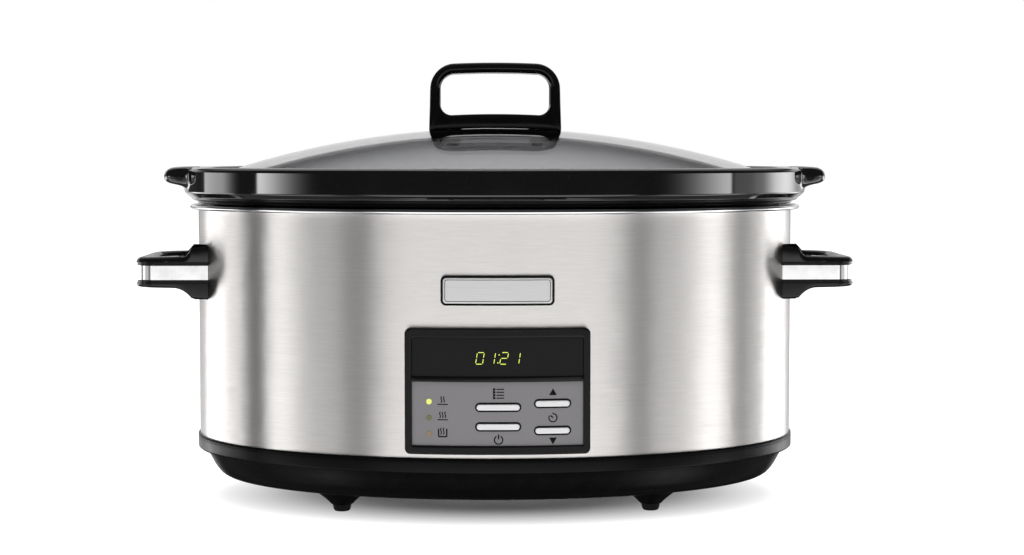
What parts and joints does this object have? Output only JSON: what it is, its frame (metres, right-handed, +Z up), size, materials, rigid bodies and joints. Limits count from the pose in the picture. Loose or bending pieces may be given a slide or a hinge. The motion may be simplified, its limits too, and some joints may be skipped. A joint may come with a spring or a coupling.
{
  "type": "slow cooker",
  "caption": "Oval countertop slow cooker with steel wrap, lift-out glazed stoneware crock, domed glass lid, end handles and a front panel with display and push buttons.",
  "frame": {"origin": "on the worktop, under the middle of the cooker", "axes": "+Z up, -Y towards the user, where the control panel is, +X to the user's right"},
  "size_m": [0.446, 0.296, 0.273],
  "materials": {
    "steel_wrap": "brushed along the wrap",
    "pan_metal": "polished",
    "black_base": "satin moulded",
    "black_handle": "fine satin",
    "black_gloss": "polished",
    "bright_trim": "polished",
    "foot_rubber": "matt",
    "clear_window": "smoked clear",
    "keypad_grey": "satin film",
    "button_silver": "satin",
    "led_yellow": "lit lens",
    "led_green": "unlit lens",
    "led_amber": "unlit lens",
    "badge_silver": "brushed",
    "plated_steel": "zinc plated",
    "circuit_green": "solder mask",
    "component_black": "moulded",
    "mica_tan": "mica wrapped",
    "fibre_white": "woven glass fibre",
    "cable_grey": "flexible",
    "silicone_clear": "translucent silicone",
    "crock_glaze": "gloss glaze",
    "lid_glass": "clear tempered"
  },
  "bodies": {
    "base": {"outer_shell": "steel_wrap", "base_tray": "black_base", "bottom_cover": "plated_steel", "heating_pan": "pan_metal", "heater_band": "mica_tan", "heater_insulation": "fibre_white", "heat_reflector": "plated_steel", "cord_gland": "black_base", "handle_screws": "plated_steel", "panel_bezel": "black_gloss", "display_window": "clear_window", "keypad_plate": "keypad_grey", "panel_housing": "component_black", "control_board": "circuit_green", "board_screws": "plated_steel", "tact_switches": "component_black", "ribbon_cable": "cable_grey", "badge_frame": "black_gloss", "badge_plate": "badge_silver", "power_board": "circuit_green", "board_standoffs": "component_black", "power_relay": "component_black", "power_transformer": "component_black", "tie_rod": "plated_steel", "tie_nut": "plated_steel", "cover_screws": "plated_steel", "thermal_sensor": "plated_steel", "sensor_lead": "cable_grey", "thermal_fuse": "fibre_white", "terminal_block": "component_black", "heater_lead_live": "fibre_white", "heater_lead_neutral": "fibre_white", "handle_left": "black_handle", "handle_right": "black_handle", "handle_trim_left": "bright_trim", "handle_trim_right": "bright_trim", "handle_bracket_left": "plated_steel", "handle_bracket_right": "plated_steel", "indicator_low": "led_yellow", "indicator_high": "led_green", "indicator_warm": "led_amber", "foot_housing_front_left": "black_base", "foot_pad_front_left": "foot_rubber", "foot_housing_front_right": "black_base", "foot_pad_front_right": "foot_rubber", "foot_housing_rear_left": "black_base", "foot_pad_rear_left": "foot_rubber", "foot_housing_rear_right": "black_base", "foot_pad_rear_right": "foot_rubber"},
    "button_menu": {"button_menu": "button_silver"},
    "button_power": {"button_power": "button_silver"},
    "button_up": {"button_up": "button_silver"},
    "button_down": {"button_down": "button_silver"},
    "crock": {"crock": "crock_glaze"},
    "lid": {"lid_glass": "lid_glass", "lid_handle": "black_gloss", "lid_pads": "silicone_clear", "lid_washers": "silicone_clear", "lid_screws": "plated_steel"}
  },
  "joints": [
    {"name": "crock_lift", "type": "slide", "parent": "base", "child": "crock", "axis": [0, 0, 1], "range_m": [0, 0.2]},
    {"name": "lid_lift", "type": "slide", "parent": "crock", "child": "lid", "axis": [0, 0, 1], "range_m": [0, 0.12]},
    {"name": "button_menu_press", "type": "slide", "parent": "base", "child": "button_menu", "axis": [0, 1, 0], "range_m": [0, 0.0008], "stiffness_N_per_m": 1500, "springref_m": -0.0006},
    {"name": "button_power_press", "type": "slide", "parent": "base", "child": "button_power", "axis": [0, 1, 0], "range_m": [0, 0.0008], "stiffness_N_per_m": 1500, "springref_m": -0.0006},
    {"name": "button_up_press", "type": "slide", "parent": "base", "child": "button_up", "axis": [0, 1, 0], "range_m": [0, 0.0008], "stiffness_N_per_m": 1500, "springref_m": -0.0006},
    {"name": "button_down_press", "type": "slide", "parent": "base", "child": "button_down", "axis": [0, 1, 0], "range_m": [0, 0.0008], "stiffness_N_per_m": 1500, "springref_m": -0.0006}
  ]
}
